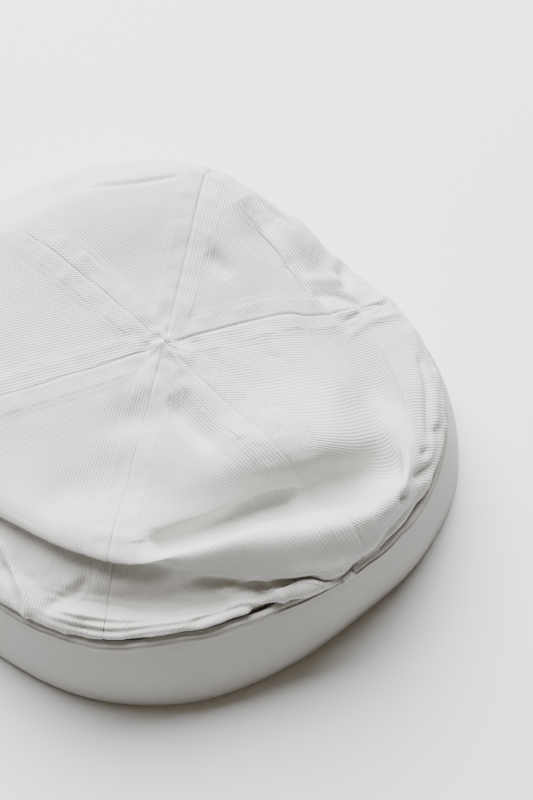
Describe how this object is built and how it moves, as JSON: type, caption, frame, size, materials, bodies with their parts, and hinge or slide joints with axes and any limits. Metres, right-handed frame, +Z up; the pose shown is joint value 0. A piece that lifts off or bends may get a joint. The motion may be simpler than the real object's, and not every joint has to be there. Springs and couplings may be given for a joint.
{
  "type": "sailor cap",
  "caption": "Soft white twill cap without a brim: a slumped crown of gores sewn to a plain folded band, worn on the head.",
  "frame": {"origin": "on the table, under the middle of the cap's bounding box", "axes": "+Z up, from the hem to the crown; +X along the head oval's longer way, +Y to the puffed-up side of the crown, -Y to the side where it slumps over the band"},
  "size_m": [0.1862, 0.1716, 0.0712],
  "materials": {
    "crown_twill": "washed cotton twill, matt",
    "band_twill": "washed cotton twill, two layers, matt"
  },
  "bodies": {
    "root": {"band": "band_twill", "crown_panel_1": "crown_twill", "crown_panel_2": "crown_twill", "crown_panel_3": "crown_twill", "crown_panel_4": "crown_twill", "crown_panel_5": "crown_twill", "crown_panel_6": "crown_twill"}
  },
  "joints": []
}
